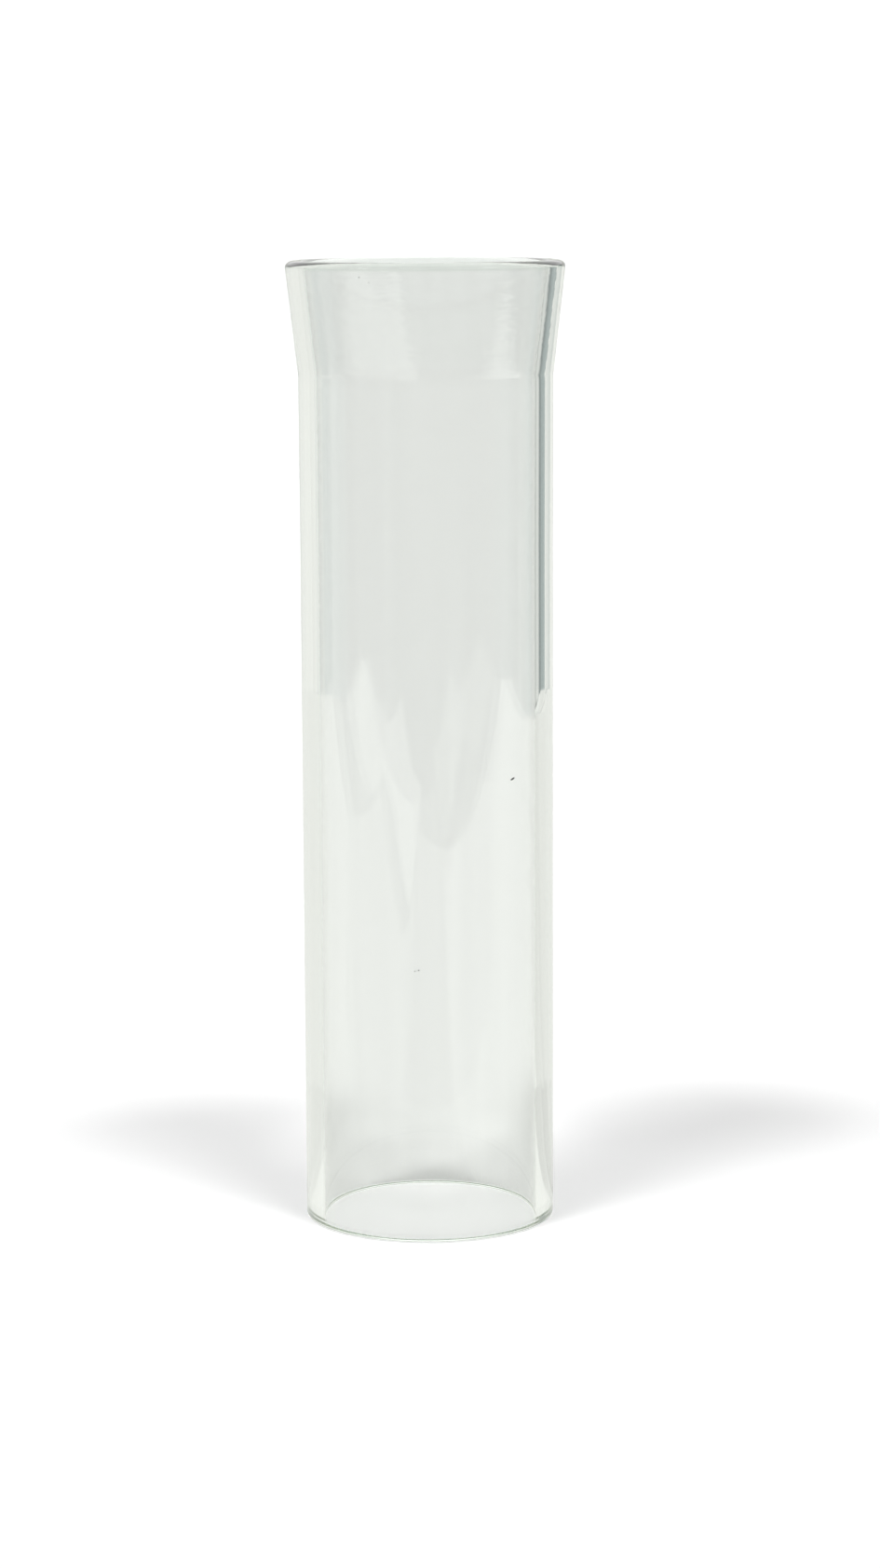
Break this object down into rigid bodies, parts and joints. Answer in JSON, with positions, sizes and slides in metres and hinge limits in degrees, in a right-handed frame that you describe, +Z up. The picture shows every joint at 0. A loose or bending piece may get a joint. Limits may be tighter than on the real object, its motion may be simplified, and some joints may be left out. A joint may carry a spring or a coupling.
{
  "type": "flared glass tube",
  "caption": "Heavy-walled clear laboratory glass tube, open at both ends, with a flat ground foot and a flared, fire-polished mouth.",
  "frame": {"origin": "centre of the foot's plane, on the tube's axis", "axes": "+Z up along the tube's axis, from the ground foot to the flared mouth; X and Y are free, because the tube is round"},
  "size_m": [0.066, 0.066, 0.2296],
  "materials": {
    "clear_glass": "clear, faintly grey-green, fire polished"
  },
  "bodies": {
    "root": {"flared_glass_tube": "clear_glass"}
  },
  "joints": []
}
